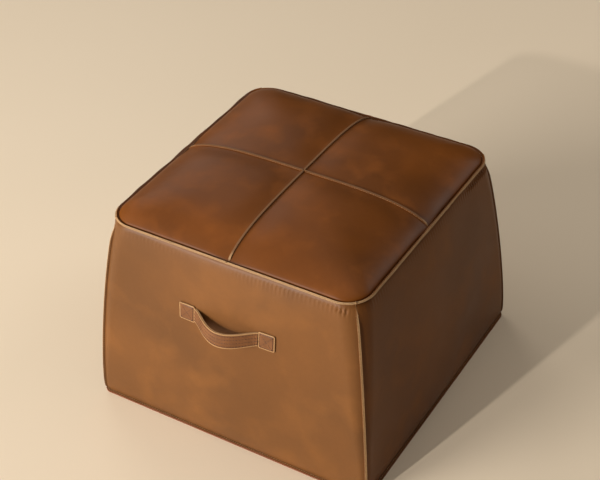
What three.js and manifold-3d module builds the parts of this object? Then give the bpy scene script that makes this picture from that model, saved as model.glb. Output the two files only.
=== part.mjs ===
// A square leather pouf: a tapered, stuffed cover of four side panels, four crowned top panels and a
// zipped base, sewn with raw edges standing out, with one carrying handle on the front.
// Millimetres, +Z up, front towards -Y, standing on z = 0.

import * as THREE from 'three';
import { mergeVertices } from 'three/addons/utils/BufferGeometryUtils.js';
import Module from 'manifold-3d';

// ------------------------------------------------------------- driving dimensions

const LEATHER = 1.5; // thickness of every cover panel
const GAP = 0.3; // clearance between pieces that touch
const LIFT = GAP / 2; // each of two facing layers stays this far from the plane between them

const BASE_HALF = 267; // half width at the base seam
const TOP_HALF = 237; // half width at the rim seam
const BASE_CORNER = 10; // corner radius at the base seam
const TOP_CORNER = 42; // corner radius at the rim seam
const RIM_Z = 374; // height of the rim seam
const WALL_SWELL = 11.5; // how far the stuffed walls stand outside a straight taper
const FACE_BULGE = 7; // extra swell at the middle of each wall
const CROWN = 33; // rise of the top from the rim seam to the middle
const CROWN_SHOULDER = 0.7; // how roundly the top falls to the rim: lower is squarer
const QUARTER_PUFF = 4; // rise of each top quarter between its seams
const PUFF_WIDTH = 30; // distance from a seam over which a quarter rises

const FLANGE = 8; // width of the raw edge along the rim
const FOOT = 6; // width of the raw edge round the base
const FIN = 4; // width of the raw edge down each corner
const TOP_FIN = 2.6; // height of the raw edge along the seams that quarter the top
const TAIL = 0.2; // width of a raw edge where a crossing seam swallows it
const THREAD = 0.8; // thickness of the sewing thread

const HANDLE_X = 5.6; // the handle is sewn a little to the right of the middle
const HANDLE_Z = 262; // height of the handle's sewn ends
const HANDLE_CENTRES = 154; // between the middles of the two sewn ends
const TAB = { width: 30, height: 31, stitchInset: 3 };
const STRAP = { width: 27, arch: 28, droop: 8, endGap: 0.6 };
const BACKING = { margin: 4, thick: 1.2, behind: 1 }; // cloth patch inside the wall at each sewn end

const ZIP = { length: 372, lift: 6.5, tape: 18, tapeThick: 0.6, pitch: 6, tooth: 3, toothThick: 2.6 };
const ZIP_SLOT = { half: 7, straight: 190, end: 212 }; // the gap that the base panels leave for the zip
const ZIP_LIFT = { flat: 12, falls: 60, straight: 205, end: 245 }; // across and along the lifted strip
const STOP = { fromEnd: 4, half: 2, halfThick: 1.6 };

const SIDE_STEPS = 6; // facets along the straight of each side
const CORNER_STEPS = 2; // facets in each half corner
const HALF_STEPS = SIDE_STEPS / 2 + CORNER_STEPS;

// ------------------------------------------------------------- materials

function finish(color, roughness, metalness = 0) {
  return new THREE.MeshStandardMaterial({ color, roughness, metalness });
}

const coverLeather = finish('#8f5a34', 0.42);
const topLeather = finish('#74451f', 0.4);
const handleLeather = finish('#8a4f2f', 0.5);
const seamThread = finish('#c7a578', 0.7);
const handleThread = finish('#4d2c1a', 0.7);
const calico = finish('#d9cfba', 0.95);
const foam = finish('#e6dcb4', 0.9);
const wadding = finish('#efeeea', 1);
const zipTape = finish('#4a3524', 0.9);
const zipBrass = finish('#a5813f', 0.35, 1);

// ------------------------------------------------------------- making closed solids

const pouf = new THREE.Group();

function add(name, geometry, material, parent = pouf) {
  const mesh = new THREE.Mesh(geometry, material);
  mesh.name = name;
  parent.add(mesh);
  return mesh;
}

function quarterTurn(k) {
  const group = new THREE.Group();
  group.rotation.z = (k * Math.PI) / 2;
  pouf.add(group);
  return group;
}

// Triangles (three points each) to a closed geometry that faces outwards. Slivers between points that
// coincide are left out.
function solidFrom(triangles) {
  const same = (a, b) => a.distanceToSquared(b) < 1e-8;
  const kept = triangles.filter(([a, b, c]) => !same(a, b) && !same(b, c) && !same(a, c));
  const volume = kept.reduce((sum, [a, b, c]) => sum + a.dot(b.clone().cross(c)), 0);
  const facing = volume < 0 ? kept.map(([a, b, c]) => [a, c, b]) : kept;
  const geometry = new THREE.BufferGeometry().setFromPoints(facing.flat());
  geometry.computeVertexNormals();
  return geometry;
}

const quad = (a, b, c, d) => [[a, b, c], [a, c, d]];

// A sheet with thickness: two grids of points, one per face, joined round their edges. A wrapped sheet
// closes on itself along each row.
function sheet(outer, inner, wrapped = false) {
  const rows = outer.length;
  const cols = outer[0].length;
  const spans = wrapped ? cols : cols - 1;
  const triangles = [];
  for (let i = 0; i < rows - 1; i++) {
    for (let j = 0; j < spans; j++) {
      const k = (j + 1) % cols;
      triangles.push(...quad(outer[i][j], outer[i][k], outer[i + 1][k], outer[i + 1][j]));
      triangles.push(...quad(inner[i][j], inner[i + 1][j], inner[i + 1][k], inner[i][k]));
    }
  }
  for (let j = 0; j < spans; j++) {
    const k = (j + 1) % cols;
    triangles.push(...quad(outer[0][j], inner[0][j], inner[0][k], outer[0][k]));
    const end = rows - 1;
    triangles.push(...quad(outer[end][j], outer[end][k], inner[end][k], inner[end][j]));
  }
  for (let i = 0; i < rows - 1 && !wrapped; i++) {
    const last = cols - 1;
    triangles.push(...quad(outer[i][0], outer[i + 1][0], inner[i + 1][0], inner[i][0]));
    triangles.push(...quad(outer[i][last], inner[i][last], inner[i + 1][last], outer[i + 1][last]));
  }
  return solidFrom(triangles);
}

// Rings of points, one above another, closed with a fan at each end.
function lofted(rings) {
  const triangles = [];
  const total = (points) => points.reduce((sum, p) => sum.add(p), new THREE.Vector3());
  const middle = (points) => total(points).divideScalar(points.length);
  const count = rings[0].length;
  const bottom = middle(rings[0]);
  const top = middle(rings.at(-1));
  for (let j = 0; j < count; j++) {
    const k = (j + 1) % count;
    for (let i = 0; i < rings.length - 1; i++) {
      triangles.push(...quad(rings[i][j], rings[i][k], rings[i + 1][k], rings[i + 1][j]));
    }
    triangles.push([bottom, rings[0][k], rings[0][j]], [top, rings.at(-1)[j], rings.at(-1)[k]]);
  }
  return solidFrom(triangles);
}

// A closed ring of four-cornered sections, for thread that runs right round.
function ringOf(sections) {
  const corner = (n) => sections.map((s) => s[n]);
  return sheet([corner(0), corner(1)], [corner(3), corner(2)], true);
}

const wasm = await Module();
wasm.setup();

function union(geometries) {
  const solids = geometries.map((source) => {
    const bare = source.clone();
    bare.deleteAttribute('normal');
    bare.deleteAttribute('uv');
    const merged = mergeVertices(bare, 1e-4);
    return new wasm.Manifold(
      new wasm.Mesh({
        numProp: 3,
        vertProperties: merged.attributes.position.array,
        triVerts: new Uint32Array(merged.index.array),
      }),
    );
  });
  const mesh = solids.reduce((a, b) => a.add(b)).getMesh();
  const geometry = new THREE.BufferGeometry();
  geometry.setAttribute('position', new THREE.BufferAttribute(mesh.vertProperties, 3));
  geometry.setIndex(new THREE.BufferAttribute(mesh.triVerts, 1));
  geometry.computeVertexNormals();
  return geometry;
}

function box([x0, x1], [y0, y1], [z0, z1]) {
  const geometry = new THREE.BoxGeometry(x1 - x0, y1 - y0, z1 - z0);
  return geometry.translate((x0 + x1) / 2, (y0 + y1) / 2, (z0 + z1) / 2);
}

// ------------------------------------------------------------- the stuffed body's shape

const mix = THREE.MathUtils.lerp;
const at = (x, y, z) => new THREE.Vector3(x, y, z);
const SQUARE = Math.SQRT1_2;

// Half width and corner radius of the cover at height share v, from the base seam (0) to the rim (1).
const swellAt = (v) => Math.sin(Math.PI * THREE.MathUtils.clamp(v, 0, 1));
const halfWidth = (v) => mix(BASE_HALF, TOP_HALF, v) + WALL_SWELL * swellAt(v) ** 0.4;
const cornerRadius = (v) => mix(BASE_CORNER, TOP_CORNER, v ** 0.8);
const BASE_SEAM_Z = 2 * LEATHER + GAP; // the wall starts on top of the base seam's two layers
const heightOf = (v) => mix(BASE_SEAM_Z, RIM_Z, v);
const shareOf = (z) => (z - BASE_SEAM_Z) / (RIM_Z - BASE_SEAM_Z);

// Swell of a wall's middle, beyond its half width, at x along it.
function bulgeAt(x, v) {
  const straight = halfWidth(v) - cornerRadius(v);
  const along = Math.abs(x) < straight ? Math.cos((Math.PI * x) / (2 * straight)) ** 2 : 0;
  return FACE_BULGE * swellAt(v) ** 0.6 * along;
}

const flat = () => 0;

// One side of a rounded square, seen from above, from corner to corner along the front (-Y) side. The
// sweep is how much of each corner it takes in.
function sidePoints(
  half,
  radius,
  z,
  bulge = flat,
  sideSteps = SIDE_STEPS,
  cornerSteps = CORNER_STEPS,
  sweep = Math.PI / 4,
) {
  const straight = half - radius;
  const points = [];
  const arc = (centreX, from) => {
    for (let i = 0; i <= cornerSteps; i++) {
      const angle = from + (sweep * i) / cornerSteps;
      points.push(at(centreX + radius * Math.cos(angle), -straight + radius * Math.sin(angle), z));
    }
  };
  arc(-straight, (Math.PI * 3) / 2 - sweep);
  for (let i = 1; i < sideSteps; i++) {
    const x = mix(-straight, straight, i / sideSteps);
    points.push(at(x, -half - bulge(x), z));
  }
  arc(straight, (Math.PI * 3) / 2);
  return points;
}

// The whole rounded square, as one ring of points.
function ring(half, radius, z, sideSteps = SIDE_STEPS, cornerSteps = CORNER_STEPS) {
  const side = sidePoints(half, radius, z, flat, sideSteps, cornerSteps).slice(0, -1);
  const turned = (k) => side.map((p) => p.clone().applyAxisAngle(at(0, 0, 1), (k * Math.PI) / 2));
  return [0, 1, 2, 3].flatMap(turned);
}

// The rim's raw edge stands up and out at 45 degrees: a point on it, by its distance from the seam and
// its distance above the plane between the two layers.
const onRimEdge = (along, above) => ({
  grow: (along - above) * SQUARE,
  z: RIM_Z + (along + above) * SQUARE,
});

// ------------------------------------------------------------- side panels

// A row of one face of a side panel: its side of the rounded square, with the corner edges turned out.
function panelRow(half, radius, z, fin, fromSeam, bulge) {
  const side = sidePoints(half, radius, z, bulge);
  const left = side.shift();
  const right = side.pop();
  const place = (apex, sign, out) =>
    apex.clone().add(at(sign * (out - fromSeam) * SQUARE, -(out + fromSeam) * SQUARE, 0));
  return [place(left, -1, fin), place(left, -1, 0), ...side, place(right, 1, 0), place(right, 1, fin)];
}

function sidePanel() {
  const outer = [];
  const inner = [];
  const addRow = (faceOut, faceIn, fin) => {
    outer.push(panelRow(faceOut.half, faceOut.radius, faceOut.z, fin, LIFT + LEATHER, faceOut.bulge));
    inner.push(panelRow(faceIn.half, faceIn.radius, faceIn.z, fin, LIFT, faceIn.bulge));
  };
  const flangeFace = (half, radius, grow, z) => ({ half: half + grow, radius: radius + grow, z });
  const baseFace = (grow, z) => flangeFace(BASE_HALF, BASE_CORNER, grow, z);
  addRow(baseFace(FOOT, BASE_SEAM_Z), baseFace(FOOT, BASE_SEAM_Z - LEATHER), TAIL);
  addRow(baseFace(0, BASE_SEAM_Z), baseFace(-LEATHER, BASE_SEAM_Z - LEATHER), TAIL);
  for (const v of [0.03, 0.1, 0.2, 0.35, 0.5, 0.65, 0.8, 0.92, 0.985]) {
    const wall = (inset) => ({
      half: halfWidth(v) - inset,
      radius: cornerRadius(v) - inset,
      z: heightOf(v),
      bulge: (x) => bulgeAt(x, v),
    });
    addRow(wall(0), wall(LEATHER), FIN);
  }
  for (const along of [0, FLANGE]) {
    const face = (above) => {
      const { grow, z } = onRimEdge(along, above);
      return flangeFace(TOP_HALF, TOP_CORNER, grow, z);
    };
    addRow(face(-LIFT - LEATHER), face(-LIFT), TAIL);
  }
  return sheet(outer, inner);
}

// Thread down one corner seam, on the side panel's own face of the raw edge.
function cornerThread() {
  const rings = [0.07, 0.2, 0.35, 0.5, 0.65, 0.8, 0.92].map((v) => {
    const apex = sidePoints(halfWidth(v), cornerRadius(v), heightOf(v))[0];
    const step = (out, aside) => at(aside - out, -out - aside, 0).multiplyScalar(SQUARE);
    const corner = (out, aside) => apex.clone().add(step(out, aside));
    const near = LIFT + LEATHER + GAP;
    const out = FIN / 2;
    return [
      corner(out, near),
      corner(out, near + THREAD),
      corner(out + THREAD, near + THREAD),
      corner(out + THREAD, near),
    ];
  });
  return lofted(rings);
}

const SIDES = ['front', 'right', 'back', 'left'];
SIDES.forEach((side, k) => {
  const turned = quarterTurn(k);
  add(`side_panel_${side}`, sidePanel(), coverLeather, turned);
  const corner = `${side}_${SIDES[(k + 3) % 4]}`;
  add(`corner_thread_${corner}`, cornerThread(), seamThread, turned);
});

// ------------------------------------------------------------- top panels

const SEAM_Z = onRimEdge(0, LIFT + LEATHER).z; // where the top's upper face leaves the rim seam
const LEVELS = [0, 0.3, 0.56, 0.76, 0.9, 1]; // share of the way from the middle to the rim

const crownAt = (level) => SEAM_Z + CROWN * (1 - level ** 4) ** CROWN_SHOULDER;
const awayFromSeam = (x) => 1 - Math.exp(-((x / PUFF_WIDTH) ** 2));
const puffAt = (x, y) => QUARTER_PUFF * awayFromSeam(x) * awayFromSeam(y);

// The rim outline from the middle of one side (u = 0) to the corner (u = HALF_STEPS), in the +X half of
// the +X +Y quarter.
function rimPoint(u, grow) {
  const straight = TOP_HALF - TOP_CORNER;
  const radius = TOP_CORNER + grow;
  const straightSteps = SIDE_STEPS / 2;
  if (u <= straightSteps) return at(TOP_HALF + grow, (straight * u) / straightSteps, 0);
  const angle = (((u - straightSteps) / CORNER_STEPS) * Math.PI) / 4;
  return at(straight + radius * Math.cos(angle), straight + radius * Math.sin(angle), 0);
}

// One quarter of the top, between the seams on x = 0 and y = 0. Station -1 is the raw edge that stands
// up at a seam, 0 is the seam, HALF_STEPS the rim seam, and HALF_STEPS + 1 the rim's raw edge.
function topPanel() {
  const stations = Array.from({ length: HALF_STEPS + 3 }, (_, i) => i - 1);
  const face = (fromSeam, below, above) =>
    stations.map((p) =>
      stations.map((q) => {
        const level = Math.max(p, q, 0);
        const across = Math.max(Math.min(p, q), 0);
        const along = level > HALF_STEPS ? FLANGE : 0;
        const edge = onRimEdge(along, above);
        const onRim = level >= HALF_STEPS;
        const inside = Math.min(level, HALF_STEPS);
        const u = inside ? (HALF_STEPS * Math.min(across, inside)) / inside : 0;
        const point = rimPoint(u, onRim ? edge.grow : 0);
        if (!onRim) point.multiplyScalar(LEVELS[level]);
        if (q > p) [point.x, point.y] = [point.y, point.x];
        point.z = onRim ? edge.z : crownAt(LEVELS[level]) + puffAt(point.x, point.y) - below;
        point.x = Math.max(point.x, fromSeam);
        point.y = Math.max(point.y, fromSeam);
        if (Math.min(p, q) < 0) point.z += (onRim ? TAIL : TOP_FIN) + below;
        return point;
      }),
    );
  const outer = face(LIFT + LEATHER, 0, LIFT + LEATHER);
  const inner = face(LIFT, LEATHER, LIFT);
  return sheet(outer, inner);
}

// Thread along one arm of the cross of seams, beside the raw edge on y = 0.
function topThread() {
  const near = LIFT + LEATHER + GAP;
  const rings = LEVELS.slice(0, -1).map((level) => {
    const x = Math.max(level * TOP_HALF, 3 * LEATHER + GAP);
    const z = crownAt(level) + TOP_FIN / 2;
    const far = near + THREAD;
    return [at(x, near, z), at(x, far, z), at(x, far, z + THREAD), at(x, near, z + THREAD)];
  });
  return lofted(rings);
}

const QUARTERS = ['back_right', 'back_left', 'front_left', 'front_right'];
const ARMS = ['right', 'back', 'left', 'front'];
QUARTERS.forEach((quarter, k) => {
  const turned = quarterTurn(k);
  add(`top_panel_${quarter}`, topPanel(), topLeather, turned);
  add(`top_thread_${ARMS[k]}`, topThread(), seamThread, turned);
});

// ------------------------------------------------------------- rim and base thread

function rimThread() {
  const corner = (along, below) => {
    const { grow, z } = onRimEdge(along, -below);
    return ring(TOP_HALF + grow, TOP_CORNER + grow, z);
  };
  const near = LIFT + LEATHER + GAP;
  const along = (FLANGE - THREAD) / 2;
  const corners = [
    corner(along, near),
    corner(along, near + THREAD),
    corner(along + THREAD, near + THREAD),
    corner(along + THREAD, near),
  ];
  return ringOf(corners[0].map((_, j) => corners.map((c) => c[j])));
}

function baseThread() {
  const corner = (grow, z) => ring(BASE_HALF + grow, BASE_CORNER + grow, z);
  const near = BASE_SEAM_Z + GAP;
  const along = (FOOT - THREAD) / 2;
  const corners = [
    corner(along, near),
    corner(along, near + THREAD),
    corner(along + THREAD, near + THREAD),
    corner(along + THREAD, near),
  ];
  return ringOf(corners[0].map((_, j) => corners.map((c) => c[j])));
}

add('rim_thread', rimThread(), seamThread);
add('base_thread', baseThread(), seamThread);

// ------------------------------------------------------------- base panels

const smooth = THREE.MathUtils.smoothstep;
const liftAcross = (y) => 1 - smooth(Math.abs(y), ZIP_LIFT.flat, ZIP_LIFT.falls);
const liftAlong = (x) => 1 - smooth(Math.abs(x), ZIP_LIFT.straight, ZIP_LIFT.end);
const zipLift = (x, y) => ZIP.lift * liftAcross(y) * liftAlong(x);
const BASE_STEPS = { side: 14, corner: 4 }; // facets along the base's outline
const BASE_ROWS = [0, 16, 28, 42, ZIP_LIFT.falls];

// The front half of the base: flat on the floor, lifted along the zip so that the zip hangs clear.
function basePanel() {
  const half = BASE_HALF + FOOT;
  const radius = BASE_CORNER + FOOT;
  const outline = sidePoints(half, radius, 0, flat, BASE_STEPS.side, BASE_STEPS.corner, Math.PI / 2);
  const zipEdge = (x) => mix(ZIP_SLOT.half, LIFT, smooth(Math.abs(x), ZIP_SLOT.straight, ZIP_SLOT.end));
  const face = (z) => [
    ...BASE_ROWS.map((y) =>
      outline.map(({ x }) => {
        const away = Math.max(y, zipEdge(x));
        return at(x, -away, zipLift(x, away) + z);
      }),
    ),
    outline.map(({ x, y }) => at(x, y, z)),
  ];
  return sheet(face(LEATHER), face(0));
}

add('base_panel_front', basePanel(), coverLeather);
add('base_panel_back', basePanel(), coverLeather, quarterTurn(2));

// ------------------------------------------------------------- zip in the base

const TAPE_Z = ZIP.lift + LEATHER + GAP;
const CHAIN_Z = TAPE_Z + ZIP.tapeThick / 2;
const CHAIN_INSIDE = 0.6; // each row of teeth stays this far from the zip's centre line
const CHAIN_OUTSIDE = CHAIN_INSIDE + ZIP.tooth;

const CHAIN_END = ZIP.length / 2 - 2 * STOP.fromEnd;
const TOOTH_SHARE = 0.55; // of the pitch and of the row's width

// One row of teeth: a comb that points at the centre line.
function zipTeeth() {
  const outline = new THREE.Shape();
  const end = CHAIN_END;
  const root = CHAIN_INSIDE + ZIP.tooth * TOOTH_SHARE;
  outline.moveTo(-end, -CHAIN_OUTSIDE);
  outline.lineTo(end, -CHAIN_OUTSIDE);
  for (let x = end; x > -end + ZIP.pitch; x -= ZIP.pitch) {
    outline.lineTo(x, -CHAIN_INSIDE);
    outline.lineTo(x - ZIP.pitch * TOOTH_SHARE, -CHAIN_INSIDE);
    outline.lineTo(x - ZIP.pitch * TOOTH_SHARE, -root);
    outline.lineTo(x - ZIP.pitch, -root);
  }
  outline.lineTo(-end, -root);
  const geometry = new THREE.ExtrudeGeometry(outline, { depth: ZIP.toothThick, bevelEnabled: false });
  return geometry.translate(0, 0, CHAIN_Z - ZIP.toothThick / 2);
}

const zipTapeGeometry = () =>
  box(
    [-ZIP.length / 2, ZIP.length / 2],
    [-CHAIN_OUTSIDE - GAP - ZIP.tape, -CHAIN_OUTSIDE - GAP],
    [TAPE_Z, TAPE_Z + ZIP.tapeThick],
  );

for (const [half, k] of [['front', 0], ['back', 2]]) {
  const turned = quarterTurn(k);
  add(`zip_tape_${half}`, zipTapeGeometry(), zipTape, turned);
  add(`zip_teeth_${half}`, zipTeeth(), zipBrass, turned);
}

for (const [end, sign] of [['left', -1], ['right', 1]]) {
  const x = sign * (ZIP.length / 2 - STOP.fromEnd);
  const high = [CHAIN_Z - STOP.halfThick, CHAIN_Z + STOP.halfThick];
  const stop = box([x - STOP.half, x + STOP.half], [-CHAIN_OUTSIDE, CHAIN_OUTSIDE], high);
  add(`zip_stop_${end}`, stop, zipBrass);
}

const SLIDER = { fromEnd: 19, length: 16, half: 5.5, plate: 1.4 };
const BAIL = { half: 3.5, leg: 1.2, side: 1, thick: 1 };
const PULL = { pin: 0.6, half: 3.5, arm: 1.9, window: 7, length: 27, halfThick: 0.55, hang: 8 };
const POST = [-7, -2]; // extent of the slider's post along the zip
const TAPE_ROOM = 0.4; // clearance between a lip of the slider and the tape
const OVERLAP = 0.5; // how far joined blocks run into each other

const SLIDER_TOP = CHAIN_Z + ZIP.toothThick / 2 + GAP; // inner faces of the two plates
const SLIDER_LOW = CHAIN_Z - ZIP.toothThick / 2 - GAP;
const PULL_PIN_Z = SLIDER_LOW - SLIDER.plate - GAP - PULL.pin;

const either = (sign, from, to) => (sign < 0 ? [-to, -from] : [from, to]);

// The slider: two plates joined by a thin post that passes between the rows, lips that hold the rows
// together, and a bail under the lower plate for the pull.
function sliderBody() {
  const long = [-SLIDER.length / 2, SLIDER.length / 2];
  const wide = [-SLIDER.half, SLIDER.half];
  const bailTop = PULL_PIN_Z - PULL.pin - GAP;
  const bailLow = bailTop - BAIL.thick;
  const bailSide = [-BAIL.side, BAIL.side];
  const lipFrom = ZIP.tapeThick / 2 + TAPE_ROOM;
  const pieces = [
    box(long, wide, [SLIDER_TOP, SLIDER_TOP + SLIDER.plate]),
    box(long, wide, [SLIDER_LOW - SLIDER.plate, SLIDER_LOW]),
    box(POST, [-GAP, GAP], [SLIDER_LOW - OVERLAP, SLIDER_TOP + OVERLAP]),
    box([-BAIL.half, BAIL.half], bailSide, [bailLow, bailTop]),
  ];
  for (const sign of [-1, 1]) {
    const leg = either(sign, BAIL.half - BAIL.leg, BAIL.half);
    const lip = either(sign, CHAIN_OUTSIDE + 2 * GAP, SLIDER.half);
    pieces.push(box(leg, bailSide, [bailLow, SLIDER_LOW - OVERLAP]));
    pieces.push(box(long, lip, [CHAIN_Z + lipFrom, SLIDER_TOP + OVERLAP]));
    pieces.push(box(long, lip, [SLIDER_LOW - OVERLAP, CHAIN_Z - lipFrom]));
  }
  return union(pieces);
}

// The pull: a pin through the bail, two arms and a flat tab.
function pullBody() {
  const thick = [-PULL.halfThick, PULL.halfThick];
  const pieces = [
    new THREE.CylinderGeometry(PULL.pin, PULL.pin, 2 * PULL.half, 10),
    box([PULL.window - 1, PULL.length], [-PULL.half, PULL.half], thick),
  ];
  for (const sign of [-1, 1]) {
    const arm = either(sign, PULL.half - PULL.arm, PULL.half);
    pieces.push(box([-PULL.halfThick, PULL.window], arm, thick));
  }
  return union(pieces);
}

const slider = new THREE.Group();
slider.position.x = SLIDER.fromEnd - ZIP.length / 2;
pouf.add(slider);
add('zip_slider', sliderBody(), zipBrass, slider);

// The pull hangs until its tip nearly rests on the floor.
const pull = new THREE.Group();
pull.position.z = PULL_PIN_Z;
pull.rotation.y = THREE.MathUtils.degToRad(PULL.hang);
slider.add(pull);
add('zip_pull', pullBody(), zipBrass, pull);

// ------------------------------------------------------------- handle on the front

const frontDepth = (x, z) => halfWidth(shareOf(z)) + bulgeAt(x, shareOf(z));
const WALL_LEAN = Math.atan2(
  frontDepth(0, HANDLE_Z - TAB.height) - frontDepth(0, HANDLE_Z + TAB.height),
  2 * TAB.height,
);

// Bends a flat piece onto the front wall: its x runs along the wall, y up it and z out of it.
function ontoFront(geometry, shape = (p) => p) {
  const position = geometry.attributes.position;
  const p = new THREE.Vector3();
  for (let i = 0; i < position.count; i++) {
    shape(p.fromBufferAttribute(position, i));
    p.x += HANDLE_X;
    const z = HANDLE_Z + p.y * Math.cos(WALL_LEAN);
    const out = frontDepth(p.x, z) + p.z * Math.cos(WALL_LEAN);
    position.setXYZ(i, p.x, -out, z + p.z * Math.sin(WALL_LEAN));
  }
  geometry.computeVertexNormals();
  return geometry;
}

function patch(centreX, width, height, from, thickness) {
  const slab = new THREE.BoxGeometry(width, height, thickness, 4, 2, 1);
  return ontoFront(slab.translate(centreX, 0, from + thickness / 2));
}

// A frame of thread round a sewn end, a little inside its edge.
function tabThread(centreX, from) {
  const rectangle = (path, inset) => {
    const x = TAB.width / 2 - inset;
    const y = TAB.height / 2 - inset;
    path.moveTo(-x, -y).lineTo(x, -y).lineTo(x, y).lineTo(-x, y).closePath();
    return path;
  };
  const frame = rectangle(new THREE.Shape(), TAB.stitchInset);
  frame.holes.push(rectangle(new THREE.Path(), TAB.stitchInset + THREAD));
  const thread = new THREE.ExtrudeGeometry(frame, { depth: THREAD, bevelEnabled: false });
  return ontoFront(thread.translate(centreX, 0, from));
}

const STRAP_HALF = HANDLE_CENTRES / 2 - TAB.width / 2 - STRAP.endGap;
const STRAP_ROOT = GAP + LEATHER + LIFT; // the strap's middle plane starts this far out of the wall

// The strap bows out from the wall and droops between its ends.
function strapLayer(from, to) {
  const strip = new THREE.BoxGeometry(2 * STRAP_HALF, STRAP.width, to - from, 20, 2, 1);
  strip.translate(0, 0, (from + to) / 2);
  return ontoFront(strip, (p) => {
    const share = Math.max(1 - (p.x / STRAP_HALF) ** 2, 0);
    const slope = (-3 * STRAP.arch * p.x * Math.sqrt(share)) / STRAP_HALF ** 2;
    const unit = Math.hypot(1, slope);
    p.y -= STRAP.droop * share ** 1.3;
    p.x -= (p.z * slope) / unit;
    p.z = STRAP_ROOT + STRAP.arch * share ** 1.5 + p.z / unit;
    return p;
  });
}

for (const [end, sign] of [['left', -1], ['right', 1]]) {
  const x = (sign * HANDLE_CENTRES) / 2;
  const wide = TAB.width + 2 * BACKING.margin;
  const high = TAB.height + 2 * BACKING.margin;
  const behind = -LEATHER - BACKING.behind - BACKING.thick;
  add(`handle_end_${end}`, patch(x, TAB.width - 4, STRAP.width - 2, GAP, LEATHER), handleLeather);
  add(`handle_tab_${end}`, patch(x, TAB.width, TAB.height, LEATHER + 2 * GAP, LEATHER), handleLeather);
  add(`handle_thread_${end}`, tabThread(x, 2 * LEATHER + 3 * GAP), handleThread);
  add(`handle_backing_${end}`, patch(x, wide, high, behind, BACKING.thick), calico);
}
add('handle_strap', strapLayer(LIFT, LIFT + LEATHER), handleLeather);
add('handle_strap_lining', strapLayer(-LIFT - LEATHER, -LIFT), handleLeather);

// ------------------------------------------------------------- stuffing

const BAG = { inset: 4.5, thick: 1, sideSteps: 4, cornerSteps: 1 };
const BAG_REST = 1.2; // clearance under the bag
const BAG_RISE = { height: 10.5, flat: 45, falls: 120 }; // the bag rides over the zip
const FOAM_INSET = 8;
const WADDING_INSET = { wall: 10, crown: 9 };
const FLOOR_MARGIN = 4; // the stuffing is this much smaller still where it meets the floor

function bagFloor(y) {
  const rise = BAG_RISE.height * (1 - smooth(Math.abs(y), BAG_RISE.flat, BAG_RISE.falls));
  return LEATHER + BAG_REST + rise;
}

// Rings of the stuffing's outer shape: across the floor, up the walls and over the crown.
function stuffingRings(inset, { floorLevels = [], walls = [], crownLevels = [] }) {
  const around = (half, radius, z) => ring(half, radius, z, BAG.sideSteps, BAG.cornerSteps);
  const onFloor = (level) => {
    const half = (BASE_HALF - inset - FLOOR_MARGIN) * level;
    const radius = Math.max((BASE_CORNER + FLOOR_MARGIN) * level, FLOOR_MARGIN);
    const points = around(half, radius, 0);
    return points.map((p) => p.setZ(bagFloor(p.y) + inset - BAG.inset));
  };
  const wallRadius = (v) => cornerRadius(v) + FLOOR_MARGIN - inset / 2;
  const onWall = (v) => around(halfWidth(v) - inset, wallRadius(v), heightOf(v));
  const onCrown = (level) => {
    const half = (TOP_HALF - inset) * level;
    return around(half, TOP_CORNER * level, crownAt(level) - inset - 2);
  };
  return [...floorLevels.map(onFloor), ...walls.map(onWall), ...crownLevels.map(onCrown)];
}

const FLOOR_LEVELS = [0.2, 0.45, 0.75, 1];
const WALL_SHARES = [0.08, 0.2, 0.4, 0.6, 0.8, 0.9];
const CROWN_LEVELS = [0.95, 0.88, 0.72, 0.5, 0.25];
const BAG_LEVELS = {
  floorLevels: FLOOR_LEVELS,
  walls: [...WALL_SHARES, 0.965],
  crownLevels: CROWN_LEVELS,
};

// The calico bag is open at its mouth, over the zip. Its top is closed by a small flat facet.
function calicoBag() {
  const outer = stuffingRings(BAG.inset, BAG_LEVELS);
  const inner = stuffingRings(BAG.inset + BAG.thick, BAG_LEVELS);
  const middle = (rows) => rows[0].map(() => at(0, 0, rows.at(-1)[0].z));
  outer.push(middle(outer));
  inner.push(middle(inner));
  return sheet(outer, inner, true);
}

add('calico_bag', calicoBag(), calico);
const foamRings = stuffingRings(FOAM_INSET, { floorLevels: FLOOR_LEVELS, walls: WALL_SHARES });
add('foam_block', lofted(foamRings), foam);
const waddingRings = [
  ...stuffingRings(WADDING_INSET.wall, { walls: [0.925] }),
  ...stuffingRings(WADDING_INSET.crown, { crownLevels: CROWN_LEVELS }),
];
add('top_wadding', lofted(waddingRings), wadding);

// ------------------------------------------------------------- origin under the middle of the outline

const outline = new THREE.Box3().setFromObject(pouf, true);
pouf.position.y = -(outline.min.y + outline.max.y) / 2;

export default pouf;
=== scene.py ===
import math

import bpy
import numpy as np
from mathutils import Matrix, Vector


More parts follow.
